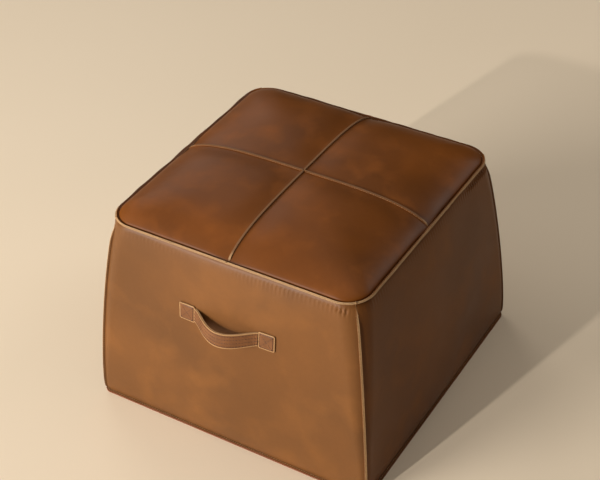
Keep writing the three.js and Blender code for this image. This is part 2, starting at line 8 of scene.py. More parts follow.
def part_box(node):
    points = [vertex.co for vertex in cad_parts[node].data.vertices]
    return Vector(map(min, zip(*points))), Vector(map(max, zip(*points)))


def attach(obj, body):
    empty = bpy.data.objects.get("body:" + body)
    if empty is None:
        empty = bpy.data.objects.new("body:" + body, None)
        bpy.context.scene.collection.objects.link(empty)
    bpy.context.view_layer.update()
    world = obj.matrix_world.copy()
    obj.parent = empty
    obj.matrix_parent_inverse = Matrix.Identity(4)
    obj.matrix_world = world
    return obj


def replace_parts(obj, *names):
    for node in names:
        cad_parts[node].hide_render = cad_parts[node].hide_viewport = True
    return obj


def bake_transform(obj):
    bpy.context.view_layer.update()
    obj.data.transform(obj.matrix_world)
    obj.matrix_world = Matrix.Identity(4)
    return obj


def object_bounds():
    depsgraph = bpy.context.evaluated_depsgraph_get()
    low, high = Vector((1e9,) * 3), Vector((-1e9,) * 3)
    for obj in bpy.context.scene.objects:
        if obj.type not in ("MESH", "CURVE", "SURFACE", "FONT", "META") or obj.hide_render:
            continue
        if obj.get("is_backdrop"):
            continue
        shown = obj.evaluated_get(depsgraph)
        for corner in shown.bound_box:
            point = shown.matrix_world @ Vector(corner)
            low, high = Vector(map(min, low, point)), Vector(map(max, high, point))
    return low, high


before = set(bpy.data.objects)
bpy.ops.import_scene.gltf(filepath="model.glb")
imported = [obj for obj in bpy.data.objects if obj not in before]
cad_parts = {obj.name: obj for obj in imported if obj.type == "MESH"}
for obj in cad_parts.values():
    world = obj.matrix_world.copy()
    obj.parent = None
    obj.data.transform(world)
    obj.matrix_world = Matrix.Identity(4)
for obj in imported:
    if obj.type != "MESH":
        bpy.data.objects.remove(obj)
cad_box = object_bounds()
bpy.ops.object.select_all(action="DESELECT")


# ---- Viewpoint -------------------------------------------
# The pouf is seen from well above its front right corner through a long lens, so that the front,
# the right side and the whole seat show and the upright edges hardly converge.
MM = 0.001
EYE_AZIMUTH = math.radians(31.87)
EYE_ELEVATION = math.radians(37.84)
EYE_DISTANCE = 2589 * MM
EYE_ROLL = math.radians(-1.85)
EYE_SHIFT = (-11.6 * MM, 55.5 * MM)
AIM_HEIGHT = 190 * MM
LENS = 87.0


def body_centre():
    """The middle of the stuffed body on the floor: the handle in front isn't counted."""
    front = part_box("side_panel_front")[0].y
    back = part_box("side_panel_back")[1].y
    return Vector((0, (front + back) / 2, 0))


CENTRE = body_centre()


def set_viewpoint():
    flat = math.cos(EYE_ELEVATION)
    back = Vector((math.sin(EYE_AZIMUTH) * flat, -math.cos(EYE_AZIMUTH) * flat, math.sin(EYE_ELEVATION)))
    right = Vector((math.cos(EYE_AZIMUTH), math.sin(EYE_AZIMUTH), 0))
    up = back.cross(right)
    turned_right = right * math.cos(EYE_ROLL) + up * math.sin(EYE_ROLL)
    turned_up = up * math.cos(EYE_ROLL) - right * math.sin(EYE_ROLL)
    bpy.ops.object.camera_add()
    camera = bpy.context.object
    camera.name = "viewpoint"
    camera.data.lens = LENS
    camera.data.sensor_width = 36
    place = CENTRE + Vector((0, 0, AIM_HEIGHT)) + back * EYE_DISTANCE
    place += turned_right * EYE_SHIFT[0] + turned_up * EYE_SHIFT[1]
    turn = Matrix((turned_right, turned_up, back)).transposed()
    camera.matrix_world = Matrix.Translation(place) @ turn.to_4x4()
    bpy.context.scene.camera = camera


set_viewpoint()


# ---- Studio ----------------------------------------------
# A plain pale floor of matt painted plaster. One small lamp low in front throws the clear edge of
# the shadow, a large soft box beside it gives most of the light, and weak boxes all round fill in.
ROLLER_CLOUD = 1 / 0.9  # size of the floor paint's clouds, in metres


def linear(hex_colour):
    """An sRGB hex colour as the linear colour that shaders take."""
    channels = [int(hex_colour[i:i + 2], 16) / 255 for i in (1, 3, 5)]
    bent = [c / 12.92 if c <= 0.04045 else ((c + 0.055) / 1.055) ** 2.4 for c in channels]
    return (*bent, 1)


def add_node(tree, kind, inputs=None, **settings):
    """Adds a node with its settings. Each input is a value or another node's output socket."""
    made = tree.nodes.new(kind)
    for name, value in settings.items():
        setattr(made, name, value)
    for name, value in (inputs or {}).items():
        if isinstance(value, bpy.types.NodeSocket):
            tree.links.new(value, made.inputs[name])
        else:
            made.inputs[name].default_value = value
    return made


def new_material(name, roughness, ior, metallic=0.0):
    """An empty material with a Principled surface, as (material, tree, surface)."""
    material = bpy.data.materials.new(name)
    material.use_nodes = True
    tree = material.node_tree
    tree.nodes.clear()
    values = {"Roughness": roughness, "IOR": ior, "Metallic": metallic}
    surface = add_node(tree, "ShaderNodeBsdfPrincipled", values)
    add_node(tree, "ShaderNodeOutputMaterial", {"Surface": surface.outputs[0]})
    return material, tree, surface


def object_place(tree):
    """The point's place in metres, in which every material's pattern is laid out."""
    return add_node(tree, "ShaderNodeTexCoord").outputs["Object"]


def noise(tree, where, size, detail, **inputs):
    """Noise whose features are about size metres across."""
    settings = {"Vector": where, "Scale": 1 / size, "Detail": detail, **inputs}
    return add_node(tree, "ShaderNodeTexNoise", settings).outputs["Fac"]


def spread(tree, value, low, high, to_low=0.0, to_high=1.0):
    """Stretches the values between low and high to the new limits, and holds the rest at them."""
    limits = {"From Min": low, "From Max": high, "To Min": to_low, "To Max": to_high}
    return add_node(tree, "ShaderNodeMapRange", {"Value": value, **limits}).outputs[0]


def blended(tree, share, first, second, **settings):
    inputs = {"Fac": share, "Color1": first, "Color2": second}
    return add_node(tree, "ShaderNodeMixRGB", inputs, **settings).outputs[0]


def paint(tree, surface, colour, height=None, strength=0.0, depth=0.0):
    """Gives the surface its colour and, if there is a height, its relief, depth metres deep."""
    tree.links.new(colour, surface.inputs["Base Color"])
    if height is not None:
        relief = {"Height": height, "Strength": strength, "Distance": depth}
        bump = add_node(tree, "ShaderNodeBump", relief)
        tree.links.new(bump.outputs[0], surface.inputs["Normal"])


def painted_floor():
    """Matt emulsion on smooth plaster: pale, warm, and faintly cloudy where the roller overlapped."""
    material, tree, surface = new_material("matt floor paint", 0.85, 1.45)
    cloud = noise(tree, object_place(tree), ROLLER_CLOUD, 2.0)
    paint(tree, surface, blended(tree, cloud, linear("#e3d0b4"), linear("#e9d7bd")))
    return material


def add_floor():
    bpy.ops.mesh.primitive_plane_add(size=60, location=(0, 0, 0))
    floor = bpy.context.object
    floor.name = "floor"
    floor.data.materials.append(painted_floor())
    floor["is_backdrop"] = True
    floor.select_set(False)


def add_lamp(name, place, aim, size, power, colour):
    bpy.ops.object.light_add(type="AREA", location=place)
    lamp = bpy.context.object
    lamp.name = name
    lamp.data.shape = "DISK"
    lamp.data.size = size
    lamp.data.energy = power
    lamp.data.color = linear(colour)[:3]
    lamp.rotation_euler = (Vector(aim) - Vector(place)).to_track_quat("-Z", "Y").to_euler()
    lamp.visible_camera = False
    lamp.select_set(False)


add_floor()
add_lamp("low_lamp", (-0.80, -3.67, 1.95), (0, 0, 0.2), 0.10, 72, "#fffbf6")
add_lamp("front_box", (-2.5, -4.0, 1.6), (0, 0, 0.2), 2.5, 232, "#fffbf6")
add_lamp("left_box", (-3.6, -1.2, 3.4), (0, 0, 0.1), 3.2, 41, "#fffbf6")
add_lamp("ceiling_box", (0, 0, 4.5), (0, 0, 0), 4.0, 43, "#fffbf6")
add_lamp("back_left_box", (-3.2, 2.6, 2.8), (0, 0, 0.1), 2.5, 33, "#fffbf6")
add_lamp("back_right_box", (2.5, 3.5, 3.0), (0, 0, 0.1), 2.5, 54, "#fffbf6")
room = bpy.data.worlds.new("room")
room.use_nodes = True
room.node_tree.nodes["Background"].inputs["Color"].default_value = linear("#e6d3b8")
room.node_tree.nodes["Background"].inputs["Strength"].default_value = 0.01
bpy.context.scene.world = room
bpy.context.scene.view_settings.view_transform = "Standard"


# ---- Side panels -----------------------------------------
# Four trapezoid panels of thick cowhide, waxed and rubbed, pushed out by the stuffing. Each is
# sewn to its neighbours flesh side to flesh side, so that its raw cut edges stand out from the
# corners, the rim and the base, and the thread draws small puckers into it under the rim.
LEATHER = 1.5 * MM  # thickness of the hide
HALF_GAP = 0.15 * MM  # half the gap between two layers sewn together
FACE = LEATHER + HALF_GAP  # from the middle of a seam to a panel's grain side
BASE_HALF = 267 * MM  # half width of the body at the base seam
RIM_HALF = 237 * MM  # half width at the rim seam
BASE_CORNER = 10 * MM  # corner radius at the base seam
RIM_CORNER = 42 * MM  # corner radius at the rim seam
BASE_SEAM = 3.3 * MM  # height of the upper face of the base seam's edges
RIM_HEIGHT = 374 * MM  # height of the rim seam
SWELL = 11.5 * MM  # how far the stuffing pushes the walls out
FACE_BULGE = 7 * MM  # extra swell in the middle of each wall
EDGE = 8 * MM  # width of the raw edges along the rim
FOOT = 6 * MM  # width of the raw edges round the base
CORNER_EDGE = 4 * MM  # width of the raw edges down the corners
PUCKER = 7.5 * MM  # from one pucker under the rim to the next
PUCKER_DEPTH = 1.8 * MM
PUCKER_DROP = 10 * MM  # how far below the rim the puckers are deepest
PUCKER_REACH = 8 * MM  # and how far they reach above and below that
LUMPS = 1.1 * MM  # how far the hand-stuffed wall strays from its even swell
SLOPE = math.sqrt(0.5)


def swell_at(share):
    return np.sin(np.pi * np.clip(share, 0, 1))


def wall_half(share):
    return BASE_HALF + (RIM_HALF - BASE_HALF) * share + SWELL * swell_at(share) ** 0.4


def wall_corner(share):
    return BASE_CORNER + (RIM_CORNER - BASE_CORNER) * share ** 0.8


def wall_height(share):
    return BASE_SEAM + (RIM_HEIGHT - BASE_SEAM) * share


def face_bulge(x, share):
    straight = wall_half(share) - wall_corner(share)
    along = np.where(np.abs(x) < straight, np.cos(np.pi * x / (2 * straight)) ** 2, 0)
    return FACE_BULGE * swell_at(share) ** 0.6 * along


def ease(x, low, high):
    t = np.clip((x - low) / (high - low), 0, 1)
    return t * t * (3 - 2 * t)


def unevenness(a, b, seed):
    """Soft hand-stuffed lumps, from -1 to 1, over a surface whose places a and b are in metres."""
    waves = [(21, 13, 0.9), (-14, 24, 2.3), (33, -19, 4.1), (9, 37, 5.2)]
    total = sum(np.sin(a * p + b * q + r * (seed + 1)) for p, q, r in waves)
    return total / len(waves)


def hand_cut(s, seed):
    """The raw edges were trimmed by hand, so their width wanders by up to a tenth along s."""
    return 1 + 0.06 * np.sin(s * 41 + seed) + 0.04 * np.sin(s * 97 + 2 * seed)


def calm_wall(share):
    """How far the lumps show: they die away at the base and under the rim."""
    return ease(share, 0, 0.12) * (1 - ease(share, 0.9, 1))


def points_of(piece):
    places = np.zeros(len(piece.data.vertices) * 3)
    piece.data.vertices.foreach_get("co", places)
    return places.reshape(-1, 3)


def set_points(piece, places):
    piece.data.vertices.foreach_set("co", np.ravel(places))
    piece.data.update()


def puckers(s, below, seed):
    """How far the rim's stitches draw the wall out and in, at s along it and below the rim."""
    wave = np.sin(2 * np.pi * s / PUCKER + 1.5 * np.sin(s * 23 + seed))
    near_rim = np.exp(-((below - PUCKER_DROP) / PUCKER_REACH) ** 2)
    tightness = 0.25 + 0.75 * ease(s, 40 * MM, 170 * MM)
    return PUCKER_DEPTH * wave * near_rim * tightness * (0.6 + 0.4 * np.sin(s * 31 + seed * 2.1))


def grid_of(name, columns, rows, place):
    """A grid whose points are moved to place(column values, row values), as an object."""
    bpy.ops.mesh.primitive_grid_add(x_subdivisions=len(columns) - 1, y_subdivisions=len(rows) - 1, size=2)
    piece = bpy.context.object
    piece.name = name
    piece.data.name = name
    even = (points_of(piece) + 1) / 2
    column = np.rint(even[:, 0] * (len(columns) - 1)).astype(int)
    row = np.rint(even[:, 1] * (len(rows) - 1)).astype(int)
    set_points(piece, np.stack(place(np.asarray(columns)[column], np.asarray(rows)[row]), -1))
    return piece


def mark(piece, name, values):
    """Keeps a number for each point, for a later step or for the material."""
    kept = piece.data.attributes.new(name, "FLOAT", "POINT")
    kept.data.foreach_set("value", np.asarray(values, np.float32))


def marked(piece, name):
    values = np.zeros(len(piece.data.vertices), np.float32)
    piece.data.attributes[name].data.foreach_get("value", values)
    return values


def soften(piece, chosen, times):
    """Rounds the sharp bends: the chosen points are smoothed in edit mode."""
    bpy.context.view_layer.objects.active = piece
    piece.data.polygons.foreach_set("select", [False] * len(piece.data.polygons))
    piece.data.edges.foreach_set("select", [False] * len(piece.data.edges))
    piece.data.vertices.foreach_set("select", np.asarray(chosen, bool))
    bpy.ops.object.mode_set(mode="EDIT")
    bpy.ops.mesh.select_mode(type="VERT")
    bpy.ops.mesh.vertices_smooth(factor=0.5, repeat=times)
    bpy.ops.mesh.select_all(action="DESELECT")
    bpy.ops.object.mode_set(mode="OBJECT")


def apply_modifier(piece, name, kind, **settings):
    step = piece.modifiers.new(name, kind)
    for setting, value in settings.items():
        setattr(step, setting, value)
    bpy.context.view_layer.objects.active = piece
    bpy.ops.object.modifier_apply(modifier=name)


def cut_from_hide(piece, grain, thickness=LEATHER):
    """Gives a grain face its thickness of hide, with the raw edge and the flesh side, and finishes it."""
    for material in (grain, raw_edge, flesh_side):
        piece.data.materials.append(material)
    layers = {"thickness": thickness, "material_offset": 2, "material_offset_rim": 1}
    apply_modifier(piece, "hide", "SOLIDIFY", offset=-1, **layers)
    piece.data.shade_smooth()
    bpy.ops.object.select_all(action="DESELECT")
    piece.select_set(True)
    bpy.ops.object.shade_smooth_by_angle(angle=math.radians(50))
    piece.select_set(False)


def turn_to(piece, quarter_turns):
    """Turns a piece made round the middle of the body onto its side, and moves it to its place."""
    turn = Matrix.Rotation(quarter_turns * math.pi / 2, 4, "Z")
    piece.data.transform(Matrix.Translation(CENTRE) @ turn)
    piece.data.update()


def waxed_cowhide(name, dark, middle, light, roughness, gloss, cloud_size, seed):
    """Pull-up cowhide, vegetable tanned, oiled and waxed, then plated smooth. The oil lies unevenly, so
    soft clouds of darker and lighter brown run through it, and the wax gives a broad satin gleam."""
    material, tree, surface = new_material(name, roughness, 1.5)
    surface.inputs["Specular IOR Level"].default_value = gloss
    shift = {"Vector": object_place(tree), "Location": (seed, seed * 0.7, seed * 0.3)}
    place = add_node(tree, "ShaderNodeMapping", shift).outputs[0]
    clouds = noise(tree, place, cloud_size, 2.0, Roughness=0.45, Distortion=0.2)
    oiled = blended(tree, spread(tree, clouds, 0.3, 0.7), linear(dark), linear(middle))
    drifts = noise(tree, place, cloud_size / 1.9, 3.0, Roughness=0.5, Distortion=0.2)
    rubbed = blended(tree, spread(tree, drifts, 0.5, 0.78, 0.0, 0.75), oiled, linear(light))
    # Pores and hair cells, about 0.9 mm apart: only just visible as a faint break in the gleam.
    pores = add_node(tree, "ShaderNodeTexVoronoi", {"Vector": place, "Scale": 1 / (0.9 * MM)})
    creases = noise(tree, place, 7 * MM, 4.0, Roughness=0.6)
    speckled = blended(tree, 1.0, rubbed, spread(tree, creases, 0, 1, 0.93, 1.07), blend_type="MULTIPLY")
    paint(tree, surface, speckled, blended(tree, 0.55, pores.outputs["Distance"], creases), 0.12, 0.3 * MM)
    gleam = spread(tree, drifts, 0, 1, roughness - 0.07, roughness + 0.09)
    tree.links.new(gleam, surface.inputs["Roughness"])
    return material


def raw_edge_leather():
    """The cut edge of the hide, left raw: pale compressed fibre that shows as a light line along every
    seam, streaked along the cut and a little darker where the wax has soaked in."""
    material, tree, surface = new_material("raw cut leather edge", 0.75, 1.45)
    where = object_place(tree)
    fibre = noise(tree, where, 2.5 * MM, 3.0)
    cut = blended(tree, fibre, linear("#8a6540"), linear("#c79f70"))
    # The edges at the foot are stained reddish brown where they rub on the floor, and the two ridges
    # over the seat are waxed with it, which darkens them.
    height = add_node(tree, "ShaderNodeSeparateXYZ", {"Vector": where}).outputs["Z"]
    stained = blended(tree, spread(tree, height, 8 * MM, 40 * MM), linear("#7c452b"), cut)
    waxed = blended(tree, spread(tree, height, 384 * MM, 390 * MM), stained, linear("#7a5431"))
    paint(tree, surface, waxed, fibre, 0.4, 0.15 * MM)
    return material


def flesh_side_suede():
    """The inner, flesh side of the hide: split and buffed to a short dull nap."""
    material, tree, surface = new_material("flesh side suede", 0.95, 1.4)
    nap = noise(tree, object_place(tree), 1.6 * MM, 4.0)
    paint(tree, surface, blended(tree, nap, linear("#6d4a2c"), linear("#8c6642")), nap, 0.5, 0.3 * MM)
    return material


raw_edge = raw_edge_leather()
flesh_side = flesh_side_suede()
SIDE_CLOUDS = (150 * MM, 3.1)  # size of the clouds in the sides' wax, and where they start
side_hide = waxed_cowhide("waxed cowhide sides", "#694424", "#784d27", "#84552a", 0.42, 0.20, *SIDE_CLOUDS)
# A darker copy of the side hide for the right panel: painted shade, not a different hide.
shaded_side_hide = waxed_cowhide(
    "waxed cowhide sides, painted shade", "#613a1b", "#6c411d", "#78491f", 0.44, 0.16, *SIDE_CLOUDS
)


def rim_edge(along, above):
    """A point of the rim's raw edge, which leans out at 45 degrees: (growth of the outline, height)."""
    return (along - above) * SLOPE, RIM_HEIGHT + (along + above) * SLOPE


def side_rows():
    """The side panel's rows from the base's raw edge up to the rim's, as (kind, value) numbers: below 0
    the width of base edge left, 0 to 1 the share of the wall's height, above 1 the rim edge."""
    foot = np.linspace(0.003, 0.03, 7)
    wall = np.linspace(0.04, 0.93, 70)
    shoulder = np.linspace(0.936, 0.9962, 16)
    return np.concatenate([np.linspace(-1, 0, 7), foot, wall, shoulder, np.linspace(1.0001, 2, 7)])


def side_columns():
    """Columns from the left corner's raw edge to the right one's: beyond 1 lies the raw edge."""
    wall = np.concatenate([np.linspace(0, 0.96, 96), np.linspace(0.966, 0.9999, 10)])
    half = np.concatenate([wall, np.linspace(1.0001, 2, 6)])
    return np.concatenate([-half[:0:-1], half])


def side_place(seed):
    def place(column, row):
        share = np.clip(row, 0, 1)
        on_base = row <= 0
        on_rim = row > 1
        run = column * RIM_HALF
        grow, rim_z = rim_edge((np.clip(row, 1, 2) - 1) * EDGE * hand_cut(run, seed), -FACE)
        base_grow = np.clip(-row, 0, 1) * FOOT * hand_cut(run, seed + 3)
        half = np.where(on_base, BASE_HALF + base_grow, np.where(on_rim, RIM_HALF + grow, wall_half(share)))
        corner = np.where(
            on_base, BASE_CORNER + base_grow, np.where(on_rim, RIM_CORNER + grow, wall_corner(share))
        )
        z = np.where(on_base, BASE_SEAM, np.where(on_rim, rim_z, wall_height(share)))
        on_wall = ~on_base & ~on_rim
        straight = half - corner
        length = straight + corner * np.pi / 4
        sign = np.where(column < 0, -1, 1)
        s = np.clip(column, -1, 1) * length
        bend = np.clip((np.abs(s) - straight) / corner, 0, None)
        x = np.where(bend > 0, sign * (straight + corner * np.sin(bend)), s)
        y = np.where(bend > 0, -straight - corner * np.cos(bend), -half)
        # The stuffing's bulge and lumps, and the puckers that the rim's stitches draw.
        calm = calm_wall(share) * (1 - ease(np.abs(column), 0.9, 1))
        lumps = LUMPS * unevenness(s, z, seed) * calm
        drawn = puckers(s, RIM_HEIGHT - z, seed) * (1 - ease(np.abs(column), 0.93, 0.97))
        out = np.where(on_wall, face_bulge(x, share) + lumps + drawn, 0)
        x = x + sign * np.sin(bend) * out
        y = y - np.cos(bend) * out
        # The grain face stays its distance from the seam plane, then turns out along it.
        away = (-y - np.abs(x)) * SLOPE
        push = np.clip(FACE - away, 0, None)
        edge = np.clip(np.abs(column) - 1, 0, 1)
        edge_width = CORNER_EDGE * ease(share, 0.0, 0.012) * (1 - ease(share, 0.88, 1.0))
        edge_width = np.where(on_wall, np.maximum(edge_width, 0.2 * MM), 0.2 * MM)
        flat = 1 - np.clip(edge_width / (3 * MM), 0, 1)
        push = push - edge * (FACE - HALF_GAP) * flat
        x = x - sign * SLOPE * push + sign * SLOPE * edge * edge_width
        y = y - SLOPE * push - SLOPE * edge * edge_width
        return x, y, z
    return place


def side_bends(column, row):
    near_rim = (row > 0.988) & (row < 1.35)
    near_base = (row > -0.35) & (row < 0.02)
    near_corner = (np.abs(column) > 0.985) & (np.abs(column) < 1.35) & (row > -0.6) & (row < 1.6)
    return near_rim | near_base | near_corner


def side_panel(name, quarter_turns):
    chosen = []

    def place(column, row):
        chosen.append(side_bends(column, row))
        return side_place(quarter_turns)(column, row)

    panel = grid_of(name, side_columns(), side_rows(), place)
    soften(panel, chosen[0], 3)
    # The right panel gets a darker copy of the side hide: painted shade for the side turned away from the
    # lamps.
    cut_from_hide(panel, shaded_side_hide if quarter_turns == 1 else side_hide)
    turn_to(panel, quarter_turns)
    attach(panel, "pouf")
    return panel


SIDES = ("front", "right", "back", "left")
for turns, side in enumerate(SIDES):
    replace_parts(side_panel(f"side_leather_{side}", turns), f"side_panel_{side}")


# ---- Top panels ------------------------------------------
# Four quarters of the same hide, kept darker with wax. Their inner edges are sewn together and
# stand up as two crossing ridges, and their outer edges are sewn to the sides at the rim. The
# wadding fills each quarter to a low cushion: the sheet is let out as cloth under its pressure.
CROWN = 33 * MM  # rise of the seat from the rim to the middle
SHOULDER = 0.7  # how roundly the seat falls to the rim
QUARTER_PUFF = 4 * MM  # rise of each quarter above its seams
PUFF_WIDTH = 30 * MM  # how far from a seam the quarter comes up to its height
RIDGE = 2.6 * MM  # height of the raw edges that stand up along the crossing seams
SEAT_RISE = 2 * MM  # how far the wadding may still push the sheet out
CLOTH_FRAMES = 20  # frames after which the pressed sheet has settled
TOP_SEAM = rim_edge(0, FACE)[1]
top_hide = waxed_cowhide("waxed cowhide top", "#5f3410", "#733f13", "#824817", 0.42, 0.16, 120 * MM, 7.7)


def rim_outline(across, grow):
    """The rim's outline from the middle of a side (0) to the corner (1), in one eighth of the top."""
    straight = RIM_HALF - RIM_CORNER
    s = across * (straight + RIM_CORNER * np.pi / 4)
    bend = np.clip((s - straight) / RIM_CORNER, 0, None)
    radius = RIM_CORNER + grow
    x = np.where(bend > 0, straight + radius * np.cos(bend), RIM_HALF + grow)
    y = np.where(bend > 0, straight + radius * np.sin(bend), s)
    return x, y


def crown_height(level):
    return TOP_SEAM + CROWN * (1 - np.clip(level, 0, 1) ** 4) ** SHOULDER


def quarter_puff(x, y):
    return QUARTER_PUFF * (1 - np.exp(-(x / PUFF_WIDTH) ** 2)) * (1 - np.exp(-(y / PUFF_WIDTH) ** 2))


def top_lines():
    """Lines across a quarter: -1 to 0 up the ridge, 0 to 1 from seam to rim, 1 to 2 the rim's raw edge."""
    inner = np.linspace(0.010, 0.06, 12)
    seat = np.linspace(0.07, 0.93, 76)
    shoulder = 1 - np.linspace(0.25, 0.02, 14) ** 2
    return np.concatenate([np.linspace(-1, 0, 5), inner, seat, shoulder, np.linspace(1, 2, 6)])


def top_place(seed):
    def place(p, q):
        high, low = np.maximum(p, q), np.minimum(p, q)
        level = np.clip(high, 1e-6, 1)
        across = np.clip(low, 0, level) / level
        on_rim = high >= 1
        run = (p - q) * RIM_HALF
        grow, rim_z = rim_edge((np.clip(high, 1, 2) - 1) * EDGE * hand_cut(run, seed + 5), FACE)
        x, y = rim_outline(across, np.where(on_rim, grow, 0))
        x, y = x * np.where(on_rim, 1, level), y * np.where(on_rim, 1, level)
        x, y = np.where(q > p, y, x), np.where(q > p, x, y)
        lumps = 0.8 * MM * unevenness(x, y, seed + 4) * (1 - ease(level, 0.8, 0.97)) * ease(low, 0.0, 0.12)
        z = np.where(on_rim, rim_z, crown_height(level) + quarter_puff(x, y) + lumps)
        # The inner edges turn up along the seams, and lie flat where they run into the rim.
        ridge = np.clip(-low, 0, 1)
        rise = RIDGE * (1 - ease(level, 0.984, 1.0)) * ~on_rim
        flat = 1 - rise / RIDGE
        inner = FACE - ridge * (FACE - HALF_GAP) * flat
        x = np.where(p < 0, inner, np.maximum(x, FACE))
        y = np.where(q < 0, inner, np.maximum(y, FACE))
        return x, y, z + rise * ridge
    return place


def press_out(panel, free, limit):
    """Cloth under the wadding's pressure. free is 0 where a seam holds the sheet, and 1 away from it."""
    rest = points_of(panel)
    held = panel.vertex_groups.new(name="held")
    for level in range(11):
        at_level = np.flatnonzero(np.rint((1 - free) * 10).astype(int) == level)
        held.add([int(i) for i in at_level], level / 10, "REPLACE")
    cloth = panel.modifiers.new("stuffing", "CLOTH").settings
    cloth.vertex_group_mass = "held"
    cloth.quality = 6
    cloth.mass = 0.6
    cloth.tension_stiffness = 40
    cloth.compression_stiffness = 40
    cloth.shear_stiffness = 20
    cloth.bending_stiffness = 12
    cloth.use_pressure = True
    cloth.uniform_pressure_force = 4
    cloth.effector_weights.gravity = 0
    for step in range(1, CLOTH_FRAMES + 1):
        bpy.context.scene.frame_set(step)
    bpy.context.view_layer.objects.active = panel
    bpy.ops.object.modifier_apply(modifier="stuffing")
    bpy.context.scene.frame_set(1)
    move = points_of(panel) - rest
    length = np.linalg.norm(move, axis=1, keepdims=True)
    capped = move * (limit * np.tanh(length / limit) / np.maximum(length, 1e-9))
    set_points(panel, rest + capped)
    panel.vertex_groups.clear()


def top_panel(name, quarter_turns):
    bends, loose = [], []

    def place(p, q):
        low, high = np.minimum(p, q), np.maximum(p, q)
        by_seam = (low > -0.55) & (low < 0.02) & (high < 1.5)
        by_rim = (high > 0.9965) & (high < 1.45) & (low > -0.55)
        bends.append(by_seam | by_rim)
        loose.append(ease(low, 0.012, 0.05) * (1 - ease(high, 0.93, 0.985)))
        return top_place(quarter_turns)(p, q)

    panel = grid_of(name, top_lines(), top_lines(), place)
    mark(panel, "bend", bends[0])
    mark(panel, "loose", loose[0])
    bpy.ops.object.mode_set(mode="EDIT")
    bpy.ops.mesh.select_all(action="SELECT")
    bpy.ops.mesh.remove_doubles(threshold=0.02 * MM)
    bpy.ops.object.mode_set(mode="OBJECT")
    soften(panel, marked(panel, "bend") > 0.5, 2)
    press_out(panel, marked(panel, "loose"), SEAT_RISE)
    for name in ("bend", "loose"):
        panel.data.attributes.remove(panel.data.attributes[name])
    cut_from_hide(panel, top_hide)
    turn_to(panel, quarter_turns)
    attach(panel, "pouf")
    return panel


QUARTERS = ("back_right", "back_left", "front_left", "front_right")
for turns, quarter in enumerate(QUARTERS):
    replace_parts(top_panel(f"top_leather_{quarter}", turns), f"top_panel_{quarter}")


# ---- Base panels -----------------------------------------
# Two halves of the same hide lie flat on the floor, grain side down, and meet at the zip, where
# they are lifted in a shallow strip so that the zip hangs clear. Their outer edges are sewn under
# the side panels' and show as a second raw line round the foot.
BASE_OUT = BASE_HALF + FOOT
BASE_ROUND = BASE_CORNER + FOOT
ZIP_LIFT = 6.5 * MM  # height of the lifted strip
ZIP_GAP = 7 * MM  # half width of the gap along the zip


def strip_lift(x, y):
    across = 1 - ease(np.abs(y), 12 * MM, 60 * MM)
    return ZIP_LIFT * across * (1 - ease(np.abs(x), 205 * MM, 245 * MM))


def base_outline(column):
    """A place on the front half's outer edge: column runs from -1 at the left end to 1."""
    straight = BASE_OUT - BASE_ROUND
    s = np.abs(column) * (straight + BASE_ROUND * np.pi / 2)
    bend = np.clip((s - straight) / BASE_ROUND, 0, np.pi / 2)
    x = np.where(bend > 0, straight + BASE_ROUND * np.sin(bend), s)
    return np.sign(column) * x, straight + BASE_ROUND * np.cos(bend)


def base_place(column, row):
    x, far = base_outline(column)
    slot = ZIP_GAP + (HALF_GAP - ZIP_GAP) * ease(np.abs(x), 190 * MM, 212 * MM)
    strip = 60 * MM
    near = slot + (strip - slot) * np.clip(row / 0.3, 0, 1)
    y = near + (far - strip) * np.clip((row - 0.3) / 0.7, 0, 1)
    return x, -y, strip_lift(x, y)


def base_panel(name, quarter_turns):
    half = np.concatenate([np.linspace(0, 0.9, 70), np.linspace(0.905, 1, 24)])
    columns = np.concatenate([-half[:0:-1], half])
    rows = np.concatenate([np.linspace(0, 0.3, 26), np.linspace(0.32, 1, 30)])
    panel = grid_of(name, columns, rows, base_place)
    cut_from_hide(panel, side_hide)
    turn_to(panel, quarter_turns)
    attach(panel, "pouf")
    return panel


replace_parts(base_panel("base_leather_front", 0), "base_panel_front")
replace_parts(base_panel("base_leather_back", 2), "base_panel_back")


# ---- Seam stitches ---------------------------------------
# Every seam is one row of lockstitch in thick waxed polyester, five stitches to the inch, a few
# millimetres inside the raw edge. It shows on both faces of the edge as short tan grains, whose
# ends dive into the hide.
STITCH = 3.5 * MM  # length of thread that shows
STITCH_STEP = 4.6 * MM  # from one stitch to the next
THREAD = 0.9 * MM  # thickness of the thread


def waxed_thread(name, dark, light):
    """Bonded three-ply thread: the plies' slanting grooves show as fine bands along each stitch."""
    material, tree, surface = new_material(name, 0.55, 1.5)
    grooves = {"Vector": object_place(tree), "Scale": 1 / (9 * MM), "Distortion": 1.5, "Detail": 1.0}
    wave = add_node(tree, "ShaderNodeTexWave", grooves, bands_direction="DIAGONAL")
    plies = wave.outputs["Fac"]
    paint(tree, surface, blended(tree, plies, linear(dark), linear(light)), plies, 0.4, 0.1 * MM)
    return material


tan_thread = waxed_thread("waxed thread tan", "#6f4d2d", "#a9825a")
brown_thread = waxed_thread("waxed thread dark brown", "#2c1a10", "#4a2d1b")


def one_stitch(thread):
    """The one stitch that every row copies: its length is on local z, and x stands out of the hide."""
    bpy.ops.mesh.primitive_uv_sphere_add(segments=6, ring_count=6, radius=1)
    stitch = bpy.context.object
    stitch.data.transform(Matrix.Diagonal((THREAD / 2, THREAD / 2, STITCH / 2, 1)))
    stitch.data.materials.append(thread)
    stitch.data.shade_smooth()
    return stitch


def row_of(name, model, places):
    """Copies the model to every place, joins the copies to one piece, and removes the model."""
    bpy.ops.object.select_all(action="DESELECT")
    for place in places:
        copy = model.copy()
        copy.data = model.data.copy()
        copy.data.transform(place)
        bpy.context.collection.objects.link(copy)
        copy.select_set(True)
        bpy.context.view_layer.objects.active = copy
    bpy.data.objects.remove(model)
    bpy.ops.object.join()
    row = bpy.context.object
    row.name = name
    row.data.name = name
    row.select_set(False)
    return row


